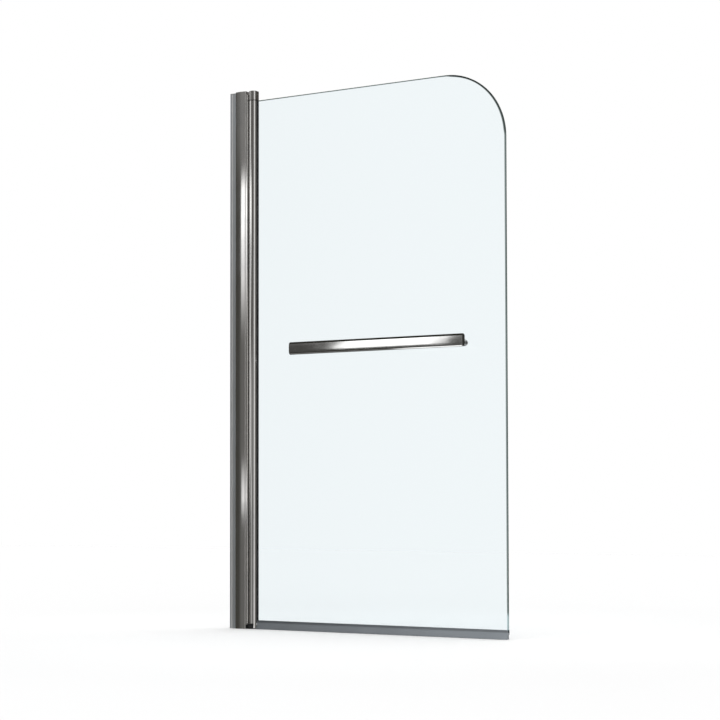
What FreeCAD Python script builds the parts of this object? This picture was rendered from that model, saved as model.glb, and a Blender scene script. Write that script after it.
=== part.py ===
import FreeCAD, Part
import math
import os

# Bath screen: a glass panel that swings on a pivot post, which telescopes over a wall channel.
# Millimetres.  +Z is up and the screen reaches along +X.  The wall face is the plane X = 0,
# the middle of the glass thickness is the plane Y = 0, and Z = 0 is the rim of the bath.
# The towel rail stands on the -Y face of the glass.

Vector = FreeCAD.Vector

# ---- Overall sizes
SCREEN_WIDTH = 804.0         # wall face to the free edge of the glass
SCREEN_HEIGHT = 1400.0       # rim to the top of the pivot post
GLASS_T = 6.0
GLASS_CORNER_R = 180.0       # the rounded free top corner
GLASS_ARRIS = 0.5            # polished bevel along every glass edge

# ---- Fits and clearances
SEAT_FIT = 0.05              # round pieces pushed into one another
FLAT_FIT = 0.1               # castings and plugs inside extrusions
SLIDE_CLEARANCE = 0.3        # post legs over the wall channel
SWING_CLEARANCE = 0.3        # end faces that pass each other as the screen swings
PIN_RUN = 0.05               # pivot pin in its bush, a running fit

# ---- Wall channel, a U-shaped extrusion
CHANNEL_WIDTH = 26.0
CHANNEL_WEB = 2.0
CHANNEL_FLANGE = 1.6
GROOVE_FROM_WALL = 6.0       # fine line along each flange
GROOVE_WIDTH = 1.2
GROOVE_DEPTH = 0.5
WALL_HOLE_R = 3.25
WALL_HOLE_END = 100.0        # outer wall screws, from each end
WALL_HOLE_INNER_PITCH = 400.0
CHANNEL_BAND = 19.0          # width of channel that shows beside the post
END_PLUG_DEPTH = 10.0
END_PLUG_WALL = 1.5
CAP_T = 1.2

# ---- Width adjustment
SLIDE_IN = 10.0              # the post can move this far towards the wall
SLIDE_OUT = 4.0              # and this far away from it
CLAMP_INSET = 7.0            # clamp screws, from the edge of the post legs
CLAMP_END = 150.0            # outer clamp screws, from each end
CLAMP_R = 1.9
CLAMP_HOLE_EASE = 0.4
CLAMP_GRIP = 8.0             # shank length under the head
CLAMP_SLOT_END = 1.7         # metal left past the end of each slot
CLAMP_NUT_SIDE = 7.0
CLAMP_NUT_T = 3.2
COVER_R = 6.0
COVER_WALL = 0.8
COVER_HEIGHT = 3.6
COVER_BEVEL = 0.8

# ---- Pan-head screws
HEAD_R_RATIO = 1.8           # head radius as a multiple of the shank radius
HEAD_HEIGHT = 2.0
HEAD_BEVEL = 0.8

# ---- Pivot post, a hollow extrusion with a round trough for the swing column
POST_WALL = 1.7
POST_CROWN = 1.0             # how far the broad front bows out
TROUGH_WALL = 2.0
TROUGH_GAP = 1.0             # between the trough and the barrel of the column
NOSE_REACH = 5.3             # narrow strip of the post beside the trough
NOSE_LEAN = 0.25             # how far that strip leans in
NOSE_CORNER_R = 1.0
NOSE_CUT_TOP = 9.0           # the nose is cut away round the brackets
NOSE_CUT_BOTTOM = 11.0
STRIP_HALF = 1.1             # sealing strip in the trough
STRIP_ROOT = 1.2
STRIP_BULB_HALF = 1.8
STRIP_CLEAR = 0.3

# ---- Pivot brackets, pins and bushes
TONGUE_T = 5.4
TONGUE_GAP = 0.4             # to the end of the channel when the post is pushed right in
TONGUE_LIP = 0.3             # under the top cap
NECK_HALF = 6.4
TOP_HEAD_H = 24.0
TOP_JOINT = 2.0              # dark joint between the head and the column
BOTTOM_HEAD_H = 12.0
BOTTOM_HEAD_R = 6.8
BOTTOM_JOINT = 2.0
BOTTOM_TONGUE_H = 24.0
HEAD_EDGE_BEVEL = 0.8
BRACKET_SCREW_R = 1.6
BRACKET_SCREW_GRIP = 11.0
BRACKET_SCREW_EDGE = 6.5
BRACKET_SCREW_PITCH = 10.0
PEG_R = 1.5
PEG_LENGTH = 3.0
PEG_OFFSET = 8.5
PIN_R = 3.0
PIN_CHAMFER = 0.5
PIN_IN_HEAD = 9.0
TOP_PIN_IN_HEAD = 19.0
PIN_IN_COLUMN = 24.0
BUSH_WALL = 1.4
BUSH_LENGTH = 26.0
JOINT_INSET = 0.5            # top joint ring, in from the outline of the column

# ---- Swing column, the round extrusion that grips the glass
BARREL_R = 13.0
SLOT_FLOOR = 1.2             # metal between the bush bore and the glass slot
SLOT_DEPTH = 6.0
COLUMN_WALL = 2.0
EAR_LIFT = 2.0               # bottom of the holder above the rim
EAR_GAP = 0.3
GASKET_T = 1.2
GASKET_LIP_T = 0.8
GASKET_LIP_REACH = 2.4
BARB_FROM_MOUTH = 3.0
BARB_HALF = 0.8
BARB_DEPTH = 0.7
SETTING_T = 1.0
SETTING_LENGTH = 30.0
SETTING_END = 150.0
GLASS_LIFT = 1.0             # bottom edge of the glass above the foot of the column

# ---- Bottom seal
SEAL_TOP = 22.0
SEAL_WALL = 1.4
SEAL_WEB = 2.1
SEAL_VANE_T = 1.2
SKIRT_REACH = 7.2            # front skirt
DEFLECTOR_REACH = 13.0       # back vane that throws drips into the bath
DEFLECTOR_FOOT = 3.2
BLADE_LEAN = 1.0
BLADE_FOOT = 0.4

# ---- Towel rail
RAIL_LENGTH = 500.0
RAIL_HEIGHT = 32.0
RAIL_DEPTH = 15.0
RAIL_WALL = 1.8
RAIL_CROWN = 0.5
RAIL_FACE_HALF = 10.5        # half height of the broad front face
RAIL_SHOULDER = 6.5          # front of the rail to its tallest line
RAIL_SHOULDER_BOW = 1.45
RAIL_SEAT_HALF = 11.5        # half height of the flat back
RAIL_BACK_BOW = 1.5
RAIL_CLEAR = 35.0            # hand room between rail and glass
RAIL_FROM_EDGE = 344.0       # middle of the rail to the free edge of the glass
RAIL_Z = 716.5
END_CAP_T = 3.5
END_CAP_BEVEL = 1.0
END_CAP_PLUG = 8.0
STANDOFF_INSET = 25.0        # end of the rail to the axis of a standoff
STANDOFF_DROP = 2.5          # axis of the standoffs below the middle of the rail
STANDOFF_R = 10.0
STANDOFF_CHAMFER = 0.6
SPIGOT_R = 5.0
SPIGOT_PAST = 1.8            # spigot beyond the wall of the rail
WASHER_T = 1.0
STUD_R = 4.0
STUD_IN_STANDOFF = 15.0
STUD_IN_BUTTON = 4.5
DRILL_TIP = 1.0              # blind holes are this much deeper than what they hold
SLEEVE_WALL = 1.4
BUTTON_R = 8.0
BUTTON_H = 7.0
BUTTON_BEVEL = 1.6

# ---- Places worked out from the sizes above
CHANNEL_HALF = CHANNEL_WIDTH / 2
CHANNEL_INNER = CHANNEL_HALF - CHANNEL_FLANGE
POST_X = CHANNEL_BAND
CLAMP_X = POST_X + CLAMP_INSET
CLAMP_HOLE_R = CLAMP_R + CLAMP_HOLE_EASE
CHANNEL_DEPTH = CLAMP_X + SLIDE_OUT + CLAMP_HOLE_R + CLAMP_SLOT_END
TONGUE_X = CHANNEL_DEPTH + SLIDE_IN + TONGUE_GAP
CHAMBER_X = TONGUE_X + TONGUE_T + FLAT_FIT
TROUGH_R = BARREL_R + TROUGH_GAP
PIVOT_X = CHAMBER_X + TROUGH_WALL + TROUGH_R
POST_INNER = CHANNEL_HALF + SLIDE_CLEARANCE
POST_HALF = POST_INNER + POST_WALL
POST_TOP = SCREEN_HEIGHT - CAP_T
CHANNEL_TOP = POST_TOP - SLIDE_CLEARANCE - CAP_T
CLAMP_HEIGHTS = [CLAMP_END, SCREEN_HEIGHT / 2, SCREEN_HEIGHT - CLAMP_END]
WALL_HOLE_HEIGHTS = [
    WALL_HOLE_END,
    SCREEN_HEIGHT / 2 - WALL_HOLE_INNER_PITCH / 2,
    SCREEN_HEIGHT / 2 + WALL_HOLE_INNER_PITCH / 2,
    SCREEN_HEIGHT - WALL_HOLE_END,
]

NOSE_X = CHAMBER_X + NOSE_REACH
NOSE_HALF = POST_HALF - NOSE_LEAN
LIP_HALF = math.sqrt(TROUGH_R ** 2 - (PIVOT_X - NOSE_X) ** 2)

TONGUE_HALF = POST_INNER - FLAT_FIT
TONGUE_MID_X = TONGUE_X + TONGUE_T / 2
TOP_HEAD_Z = SCREEN_HEIGHT - TOP_HEAD_H
TONGUE_TOP = POST_TOP - TONGUE_LIP
TOP_SCREW_HEIGHTS = [TOP_HEAD_Z + BRACKET_SCREW_EDGE, TOP_HEAD_Z + BRACKET_SCREW_EDGE + BRACKET_SCREW_PITCH]
BOTTOM_SCREW_HEIGHTS = [BRACKET_SCREW_EDGE, BRACKET_SCREW_EDGE + BRACKET_SCREW_PITCH]

BUSH_R = PIN_R + PIN_RUN + BUSH_WALL
BORE_R = BUSH_R + SEAT_FIT
COLUMN_END = PIVOT_X + BORE_R + SLOT_FLOOR + SLOT_DEPTH
SLOT_X = COLUMN_END - SLOT_DEPTH
SLOT_HALF = GLASS_T / 2 + GASKET_T
GLASS_X = SLOT_X + SETTING_T
COLUMN_TOP = TOP_HEAD_Z - TOP_JOINT
COLUMN_FOOT = BOTTOM_HEAD_H + BOTTOM_JOINT
GLASS_FOOT = COLUMN_FOOT + GLASS_LIFT
EAR_X = PIVOT_X + BOTTOM_HEAD_R + EAR_GAP
BARB_X = COLUMN_END - BARB_FROM_MOUTH
SETTING_HEIGHTS = [SETTING_END, SCREEN_HEIGHT / 2, COLUMN_TOP - SETTING_END]

GLASS_FRONT = -GLASS_T / 2
RAIL_BACK = GLASS_FRONT - RAIL_CLEAR
RAIL_FRONT = RAIL_BACK - RAIL_DEPTH
RAIL_X = SCREEN_WIDTH - RAIL_FROM_EDGE
RAIL_LEFT = RAIL_X - RAIL_LENGTH / 2
RAIL_RIGHT = RAIL_X + RAIL_LENGTH / 2
STANDOFF_Z = RAIL_Z - STANDOFF_DROP
STANDOFF_XS = [RAIL_LEFT + STANDOFF_INSET, RAIL_RIGHT - STANDOFF_INSET]
SLEEVE_R = STUD_R + SEAT_FIT + SLEEVE_WALL
GLASS_HOLE_R = SLEEVE_R + FLAT_FIT


# ---- Drawing aids

def plan(x, y):
    return Vector(x, y, 0)


def elevation(x, z):
    return Vector(x, 0, z)


def cross_section(y, z):
    return Vector(0, y, z)


def outline(stations, place):
    """Face inside an anticlockwise ring of (u, v, rise) stations.

    The edge that leaves a station is straight where its rise is 0, and otherwise an arc that
    bows outwards by the rise (inwards where the rise is negative).
    """
    edges = []
    for index, (u, v, rise) in enumerate(stations):
        u_next, v_next, _ = stations[(index + 1) % len(stations)]
        start = place(u, v)
        end = place(u_next, v_next)
        if rise == 0:
            edges.append(Part.LineSegment(start, end).toShape())
            continue
        chord = math.hypot(u_next - u, v_next - v)
        crest_u = (u + u_next) / 2 + rise * (v_next - v) / chord
        crest_v = (v + v_next) / 2 - rise * (u_next - u) / chord
        edges.append(Part.Arc(start, place(crest_u, crest_v), end).toShape())
    return Part.Face(Part.Wire(edges))


def corner_rise(radius):
    """Rise of a quarter-round corner."""
    return radius * (1 - math.sqrt(0.5))


def upright(stations, low, high):
    """Prism along Z on a plan outline."""
    face = outline(stations, plan)
    face.translate(Vector(0, 0, low))
    return face.extrude(Vector(0, 0, high - low))


def along_x(face, start, end):
    """Prism along X on a cross-section face."""
    moved = face.copy()
    moved.translate(Vector(start, 0, 0))
    return moved.extrude(Vector(end - start, 0, 0))


def block(x_pair, y_pair, z_pair):
    size = [pair[1] - pair[0] for pair in (x_pair, y_pair, z_pair)]
    return Part.makeBox(*size, Vector(x_pair[0], y_pair[0], z_pair[0]))


def rod_x(y, z, radius, start, end):
    return Part.makeCylinder(radius, end - start, Vector(start, y, z), Vector(1, 0, 0))


def rod_y(x, z, radius, start, end):
    return Part.makeCylinder(radius, end - start, Vector(x, start, z), Vector(0, 1, 0))


def rod_z(x, y, radius, start, end):
    return Part.makeCylinder(radius, end - start, Vector(x, y, start), Vector(0, 0, 1))


def turned_y(x, z, profile):
    """Solid of revolution about a line along Y, from (radius, y, rise) stations."""
    face = outline(profile, lambda radius, y: Vector(x + radius, y, z))
    return face.revolve(Vector(x, 0, z), Vector(0, 1, 0), 360)


def fuse(first, *others):
    return first.multiFuse(list(others)).removeSplitter()


def edges_at_z(shape, height):
    """Every edge that lies wholly at one height."""
    return [e for e in shape.Edges if abs(e.BoundBox.ZMin - height) + abs(e.BoundBox.ZMax - height) < 1e-4]


def pan_screw(x, z, seat, shank_r, grip):
    """Screw with its head on the +Y side and its shank towards -Y."""
    head_r = shank_r * HEAD_R_RATIO
    return turned_y(x, z, [
        (0, seat - grip, 0),
        (shank_r, seat - grip, 0),
        (shank_r, seat, 0),
        (head_r, seat, 0),
        (head_r, seat + HEAD_HEIGHT - HEAD_BEVEL, 0),
        (head_r - HEAD_BEVEL, seat + HEAD_HEIGHT, 0),
        (0, seat + HEAD_HEIGHT, 0),
    ])


# ---- Wall side

def wall_channel():
    groove_from = GROOVE_FROM_WALL - GROOVE_WIDTH / 2
    groove_to = GROOVE_FROM_WALL + GROOVE_WIDTH / 2
    groove_floor = CHANNEL_HALF - GROOVE_DEPTH
    body = upright([
        (0, -CHANNEL_HALF, 0),
        (groove_from, -CHANNEL_HALF, 0),
        (GROOVE_FROM_WALL, -groove_floor, 0),
        (groove_to, -CHANNEL_HALF, 0),
        (CHANNEL_DEPTH, -CHANNEL_HALF, 0),
        (CHANNEL_DEPTH, -CHANNEL_INNER, 0),
        (CHANNEL_WEB, -CHANNEL_INNER, 0),
        (CHANNEL_WEB, CHANNEL_INNER, 0),
        (CHANNEL_DEPTH, CHANNEL_INNER, 0),
        (CHANNEL_DEPTH, CHANNEL_HALF, 0),
        (groove_to, CHANNEL_HALF, 0),
        (GROOVE_FROM_WALL, groove_floor, 0),
        (groove_from, CHANNEL_HALF, 0),
        (0, CHANNEL_HALF, 0),
    ], 0, CHANNEL_TOP)
    for height in WALL_HOLE_HEIGHTS:
        body = body.cut(rod_x(0, height, WALL_HOLE_R, 0, CHANNEL_WEB))
    for height in CLAMP_HEIGHTS:
        near = CLAMP_X - SLIDE_IN
        far = CLAMP_X + SLIDE_OUT
        through = (CHANNEL_INNER, CHANNEL_HALF)
        slot = fuse(
            block((near, far), through, (height - CLAMP_HOLE_R, height + CLAMP_HOLE_R)),
            rod_y(near, height, CLAMP_HOLE_R, *through),
            rod_y(far, height, CLAMP_HOLE_R, *through),
        )
        body = body.cut(slot)
    return body


def end_plug(low, high):
    """Open-centred plug that fits between the flanges of the channel."""
    outer = CHANNEL_INNER - FLAT_FIT
    inner = outer - END_PLUG_WALL
    x_outer = (CHANNEL_WEB + FLAT_FIT, CHANNEL_DEPTH - FLAT_FIT)
    x_inner = (x_outer[0] + END_PLUG_WALL, x_outer[1] - END_PLUG_WALL)
    wall = block(x_outer, (-outer, outer), (low, high))
    return wall.cut(block(x_inner, (-inner, inner), (low, high)))


def channel_top_cap():
    lid = block((0, CHANNEL_DEPTH), (-CHANNEL_HALF, CHANNEL_HALF), (CHANNEL_TOP, CHANNEL_TOP + CAP_T))
    return fuse(lid, end_plug(CHANNEL_TOP - END_PLUG_DEPTH, CHANNEL_TOP))


def channel_bottom_plug():
    outer = CHANNEL_INNER - FLAT_FIT
    x_pair = (CHANNEL_WEB + FLAT_FIT, CHANNEL_DEPTH - FLAT_FIT)
    floor = block(x_pair, (-outer, outer), (0, CAP_T))
    return fuse(floor, end_plug(CAP_T, END_PLUG_DEPTH))


# ---- Post side

def post_shell():
    """Outer outline of the post, closed across its mouth.

    The broad front is crowned and ends in a fine line; past it a narrow nose leads to the
    trough.  The back is flat, as a seat for the screws.
    """
    line_from = CHAMBER_X - GROOVE_WIDTH
    line_floor = CHAMBER_X - GROOVE_WIDTH / 2
    corner_x = NOSE_X - NOSE_CORNER_R
    corner_y = NOSE_HALF - NOSE_CORNER_R
    trough_rise = PIVOT_X - TROUGH_R - NOSE_X
    return [
        (POST_X, -POST_HALF, POST_CROWN),
        (line_from, -POST_HALF, 0),
        (line_floor, -POST_HALF + GROOVE_DEPTH, 0),
        (CHAMBER_X, -POST_HALF, 0),
        (corner_x, -NOSE_HALF, corner_rise(NOSE_CORNER_R)),
        (NOSE_X, -corner_y, 0),
        (NOSE_X, -LIP_HALF, trough_rise),
        (NOSE_X, LIP_HALF, 0),
        (NOSE_X, corner_y, corner_rise(NOSE_CORNER_R)),
        (corner_x, NOSE_HALF, 0),
        (CHAMBER_X, POST_HALF, 0),
        (POST_X, POST_HALF, 0),
    ]


def nose_block(half, z_pair):
    """Everything of the post past its chamber, within half of the middle plane."""
    return block((CHAMBER_X, PIVOT_X), (-half, half), z_pair)


def pivot_post():
    body = upright(post_shell(), 0, POST_TOP)
    body = body.cut(block((POST_X, CHAMBER_X), (-POST_INNER, POST_INNER), (0, POST_TOP)))
    for height in CLAMP_HEIGHTS:
        body = body.cut(rod_y(CLAMP_X, height, CLAMP_HOLE_R, POST_INNER, POST_HALF))
    for height in TOP_SCREW_HEIGHTS + BOTTOM_SCREW_HEIGHTS:
        body = body.cut(rod_y(TONGUE_MID_X, height, BRACKET_SCREW_R + FLAT_FIT, POST_INNER, POST_HALF))
    body = body.cut(nose_block(NECK_HALF + FLAT_FIT, (TOP_HEAD_Z - FLAT_FIT, POST_TOP)))
    body = body.cut(nose_block(NECK_HALF + FLAT_FIT, (0, BOTTOM_HEAD_H + FLAT_FIT)))
    body = body.cut(nose_block(POST_HALF, (SCREEN_HEIGHT - NOSE_CUT_TOP, POST_TOP)))
    body = body.cut(nose_block(POST_HALF, (0, NOSE_CUT_BOTTOM)))
    root_x = PIVOT_X - TROUGH_R - STRIP_ROOT
    root_half = STRIP_HALF + SEAT_FIT
    return body.cut(block((root_x, PIVOT_X), (-root_half, root_half), (0, POST_TOP)))


def post_top_cap():
    z_pair = (POST_TOP, SCREEN_HEIGHT)
    lid = upright(post_shell(), *z_pair).cut(nose_block(POST_HALF, z_pair))
    for side in (-1, 1):
        lid = fuse(lid, rod_z(TONGUE_MID_X, side * PEG_OFFSET, PEG_R, POST_TOP - PEG_LENGTH, POST_TOP))
    return lid


def trough_strip():
    """Soft strip that stops water between the trough and the barrel."""
    low = BOTTOM_HEAD_H + TROUGH_GAP
    high = TOP_HEAD_Z - TROUGH_GAP
    trough_x = PIVOT_X - TROUGH_R
    contact_x = PIVOT_X - BARREL_R - STRIP_CLEAR
    root = block((trough_x - STRIP_ROOT + SEAT_FIT, contact_x), (-STRIP_HALF, STRIP_HALF), (low, high))
    bulb_root = PIVOT_X - math.sqrt(TROUGH_R ** 2 - STRIP_BULB_HALF ** 2) + SEAT_FIT
    bulb = block((bulb_root, contact_x), (-STRIP_BULB_HALF, STRIP_BULB_HALF), (low, high))
    return fuse(root, bulb)


def column_outline(inset):
    """Outline of the swing column: a round barrel, cut off flat where the glass goes in."""
    barrel = BARREL_R - inset
    reach = COLUMN_END - PIVOT_X - inset
    half = math.sqrt(barrel ** 2 - reach ** 2)
    return [
        (PIVOT_X + reach, half, barrel + reach),
        (PIVOT_X + reach, -half, 0),
    ]


def top_head():
    """Head on the pivot axis, of the column's own section, with a bevelled top edge."""
    shoulder = SCREEN_HEIGHT - HEAD_EDGE_BEVEL
    brim = outline(column_outline(0), plan).OuterWire
    brim.translate(Vector(0, 0, shoulder))
    crown = outline(column_outline(HEAD_EDGE_BEVEL), plan).OuterWire
    crown.translate(Vector(0, 0, SCREEN_HEIGHT))
    return fuse(upright(column_outline(0), TOP_HEAD_Z, shoulder), Part.makeLoft([brim, crown], True, True))


def bracket_tongue(low, high):
    return block((TONGUE_X, TONGUE_X + TONGUE_T), (-TONGUE_HALF, TONGUE_HALF), (low, high))


def bracket_neck(low, high):
    """Bridge from the tongue, through the notch in the trough, to the head on the pivot axis."""
    return block((TONGUE_X + TONGUE_T, PIVOT_X), (-NECK_HALF, NECK_HALF), (low, high))


def drill_for_screws(casting, heights):
    reach = POST_HALF - BRACKET_SCREW_GRIP - DRILL_TIP
    for height in heights:
        casting = casting.cut(rod_y(TONGUE_MID_X, height, BRACKET_SCREW_R + SEAT_FIT, reach, TONGUE_HALF))
    return casting


def top_pivot_bracket():
    casting = fuse(top_head(), bracket_tongue(TOP_HEAD_Z, TONGUE_TOP), bracket_neck(TOP_HEAD_Z, TONGUE_TOP))
    pin_hole_top = TOP_HEAD_Z + TOP_PIN_IN_HEAD + DRILL_TIP
    casting = casting.cut(rod_z(PIVOT_X, 0, PIN_R + SEAT_FIT, TOP_HEAD_Z, pin_hole_top))
    for side in (-1, 1):
        peg_foot = POST_TOP - PEG_LENGTH - TONGUE_LIP
        peg_hole = rod_z(TONGUE_MID_X, side * PEG_OFFSET, PEG_R + SEAT_FIT, peg_foot, TONGUE_TOP)
        casting = casting.cut(peg_hole)
    return drill_for_screws(casting, TOP_SCREW_HEIGHTS)


def bottom_pivot_bracket():
    head = rod_z(PIVOT_X, 0, BOTTOM_HEAD_R, 0, BOTTOM_HEAD_H)
    casting = fuse(head, bracket_tongue(0, BOTTOM_TONGUE_H), bracket_neck(0, BOTTOM_HEAD_H))
    pin_hole_foot = BOTTOM_HEAD_H - PIN_IN_HEAD - DRILL_TIP
    casting = casting.cut(rod_z(PIVOT_X, 0, PIN_R + SEAT_FIT, pin_hole_foot, BOTTOM_HEAD_H))
    return drill_for_screws(casting, BOTTOM_SCREW_HEIGHTS)


def pivot_pin(low, high):
    pin = rod_z(PIVOT_X, 0, PIN_R, low, high)
    return pin.makeChamfer(PIN_CHAMFER, edges_at_z(pin, low) + edges_at_z(pin, high))


def bracket_screws(heights):
    screws = [pan_screw(TONGUE_MID_X, z, POST_HALF, BRACKET_SCREW_R, BRACKET_SCREW_GRIP) for z in heights]
    return Part.makeCompound(screws)


def clamp_screws():
    return Part.makeCompound([pan_screw(CLAMP_X, z, POST_HALF, CLAMP_R, CLAMP_GRIP) for z in CLAMP_HEIGHTS])


def clamp_nuts():
    half = CLAMP_NUT_SIDE / 2
    x_pair = (CLAMP_X - half, CLAMP_X + half)
    back = CHANNEL_INNER - SLIDE_CLEARANCE
    y_pair = (back - CLAMP_NUT_T, back)
    nuts = []
    for height in CLAMP_HEIGHTS:
        body = block(x_pair, y_pair, (height - half, height + half))
        nuts.append(body.cut(rod_y(CLAMP_X, height, CLAMP_R + SEAT_FIT, *y_pair)))
    return Part.makeCompound(nuts)


def screw_covers():
    """Round snap-on covers over the clamp screws."""
    covers = []
    rim = POST_HALF
    crown = POST_HALF + COVER_HEIGHT
    for height in CLAMP_HEIGHTS:
        profile = [
            (COVER_R - COVER_WALL, rim, 0),
            (COVER_R, rim, 0),
            (COVER_R, crown - COVER_BEVEL, 0),
            (COVER_R - COVER_BEVEL, crown, 0),
            (0, crown, 0),
            (0, crown - COVER_WALL, 0),
            (COVER_R - COVER_WALL, crown - COVER_WALL, 0),
        ]
        covers.append(turned_y(CLAMP_X, height, profile))
    return Part.makeCompound(covers)


# ---- Swinging side

def swing_column():
    body = upright(column_outline(0), EAR_LIFT, COLUMN_TOP)
    body = body.cut(rod_z(PIVOT_X, 0, BORE_R, EAR_LIFT, COLUMN_TOP))
    body = body.cut(block((SLOT_X, COLUMN_END), (-SLOT_HALF, SLOT_HALF), (EAR_LIFT, COLUMN_TOP)))
    for side in (-1, 1):
        y_pair = sorted((side * SLOT_HALF, side * (SLOT_HALF + BARB_DEPTH)))
        barb_x = (BARB_X - BARB_HALF, BARB_X + BARB_HALF)
        body = body.cut(block(barb_x, y_pair, (EAR_LIFT, COLUMN_TOP)))
    hollow_outer = BARREL_R - COLUMN_WALL
    hollow_inner = BORE_R + COLUMN_WALL
    hollow = rod_z(PIVOT_X, 0, hollow_outer, EAR_LIFT, COLUMN_TOP)
    hollow = hollow.cut(rod_z(PIVOT_X, 0, hollow_inner, EAR_LIFT, COLUMN_TOP))
    hollow = hollow.cut(block((PIVOT_X, COLUMN_END), (-BARREL_R, BARREL_R), (EAR_LIFT, COLUMN_TOP)))
    body = body.cut(hollow)
    foot_cut = block((PIVOT_X - BARREL_R, EAR_X), (-BARREL_R, BARREL_R), (EAR_LIFT, COLUMN_FOOT))
    return body.cut(foot_cut)


def top_pivot_bush():
    ring = upright(column_outline(JOINT_INSET), COLUMN_TOP, TOP_HEAD_Z - SWING_CLEARANCE)
    sleeve = rod_z(PIVOT_X, 0, BUSH_R, COLUMN_TOP - BUSH_LENGTH, COLUMN_TOP)
    bore = rod_z(PIVOT_X, 0, PIN_R + PIN_RUN, COLUMN_TOP - BUSH_LENGTH, TOP_HEAD_Z)
    return fuse(ring, sleeve).cut(bore)


def bottom_pivot_bush():
    ring = rod_z(PIVOT_X, 0, BOTTOM_HEAD_R, BOTTOM_HEAD_H + SWING_CLEARANCE, COLUMN_FOOT)
    sleeve = rod_z(PIVOT_X, 0, BUSH_R, COLUMN_FOOT, COLUMN_FOOT + BUSH_LENGTH)
    bore = rod_z(PIVOT_X, 0, PIN_R + PIN_RUN, BOTTOM_HEAD_H, COLUMN_FOOT + BUSH_LENGTH)
    return fuse(ring, sleeve).cut(bore)


def glazing_gasket(side):
    """Push-in gasket between one glass face and the slot, with a barb and a covering lip."""
    glass_y = side * GLASS_T / 2
    slot_y = side * SLOT_HALF
    leg = block((GLASS_X, COLUMN_END), sorted((glass_y, slot_y)), (GLASS_FOOT, COLUMN_TOP))
    lip_y = sorted((glass_y, glass_y + side * GASKET_LIP_REACH))
    lip = block((COLUMN_END, COLUMN_END + GASKET_LIP_T), lip_y, (GLASS_FOOT, COLUMN_TOP))
    barb_half = BARB_HALF - SEAT_FIT
    barb_y = sorted((slot_y, slot_y + side * (BARB_DEPTH - SEAT_FIT)))
    barb = block((BARB_X - barb_half, BARB_X + barb_half), barb_y, (GLASS_FOOT, COLUMN_TOP))
    return fuse(leg, lip, barb)


def setting_blocks():
    half = SETTING_LENGTH / 2
    x_pair = (SLOT_X, GLASS_X)
    y_pair = (-GLASS_T / 2, GLASS_T / 2)
    return Part.makeCompound([block(x_pair, y_pair, (z - half, z + half)) for z in SETTING_HEIGHTS])


def glass_panel():
    face = outline([
        (GLASS_X, GLASS_FOOT, 0),
        (SCREEN_WIDTH, GLASS_FOOT, 0),
        (SCREEN_WIDTH, COLUMN_TOP - GLASS_CORNER_R, corner_rise(GLASS_CORNER_R)),
        (SCREEN_WIDTH - GLASS_CORNER_R, COLUMN_TOP, 0),
        (GLASS_X, COLUMN_TOP, 0),
    ], elevation)
    face.translate(Vector(0, -GLASS_T / 2, 0))
    sheet = face.extrude(Vector(0, GLASS_T, 0))
    face_edges = [e for e in sheet.Edges if e.BoundBox.YLength < 1e-4]
    sheet = sheet.makeChamfer(GLASS_ARRIS, face_edges)
    for x in STANDOFF_XS:
        sheet = sheet.cut(rod_y(x, STANDOFF_Z, GLASS_HOLE_R, -GLASS_T / 2, GLASS_T / 2))
    return sheet


def bottom_seal():
    """Clip under the glass with a front skirt, a wiping blade and a back deflector."""
    inner = GLASS_T / 2 + SEAT_FIT
    outer = inner + SEAL_WALL
    web_top = GLASS_FOOT - SEAT_FIT
    web_foot = web_top - SEAL_WEB
    vane_top = web_foot - SEAL_VANE_T
    blade_half = SEAL_VANE_T / 2
    section = outline([
        (-outer, SEAL_TOP, 0),
        (-outer, web_foot, 0),
        (-SKIRT_REACH, 0, 0),
        (-SKIRT_REACH + SEAL_VANE_T, 0, 0),
        (-outer + SEAL_VANE_T, vane_top, 0),
        (-blade_half, vane_top, 0),
        (BLADE_LEAN - blade_half, BLADE_FOOT, 0),
        (BLADE_LEAN + blade_half, BLADE_FOOT, 0),
        (blade_half, vane_top, 0),
        (outer - SEAL_VANE_T, vane_top, 0),
        (DEFLECTOR_REACH - SEAL_VANE_T, DEFLECTOR_FOOT, 0),
        (DEFLECTOR_REACH, DEFLECTOR_FOOT, 0),
        (outer, web_foot, 0),
        (outer, SEAL_TOP, 0),
        (inner, SEAL_TOP, 0),
        (inner, web_top, 0),
        (-inner, web_top, 0),
        (-inner, SEAL_TOP, 0),
    ], cross_section)
    return along_x(section, COLUMN_END + GASKET_LIP_T + SEAT_FIT, SCREEN_WIDTH)


# ---- Towel rail

def rail_face():
    """Cross-section of the rail: broad crowned front, rounded shoulders and a flat back."""
    crest_y = RAIL_FRONT + RAIL_CROWN
    shoulder_y = RAIL_FRONT + RAIL_SHOULDER
    half = RAIL_HEIGHT / 2
    return outline([
        (crest_y, RAIL_Z + RAIL_FACE_HALF, RAIL_CROWN),
        (crest_y, RAIL_Z - RAIL_FACE_HALF, RAIL_SHOULDER_BOW),
        (shoulder_y, RAIL_Z - half, RAIL_BACK_BOW),
        (RAIL_BACK, RAIL_Z - RAIL_SEAT_HALF, 0),
        (RAIL_BACK, RAIL_Z + RAIL_SEAT_HALF, RAIL_BACK_BOW),
        (shoulder_y, RAIL_Z + half, RAIL_SHOULDER_BOW),
    ], cross_section)


def towel_rail_tube():
    outer = rail_face()
    inner = outer.makeOffset2D(-RAIL_WALL)
    x_pair = (RAIL_LEFT + END_CAP_T, RAIL_RIGHT - END_CAP_T)
    tube = along_x(outer, *x_pair).cut(along_x(inner, *x_pair))
    wall_inside = RAIL_BACK - RAIL_WALL - FLAT_FIT
    for x in STANDOFF_XS:
        tube = tube.cut(rod_y(x, STANDOFF_Z, SPIGOT_R + SEAT_FIT, wall_inside, RAIL_BACK))
    return tube


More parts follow.
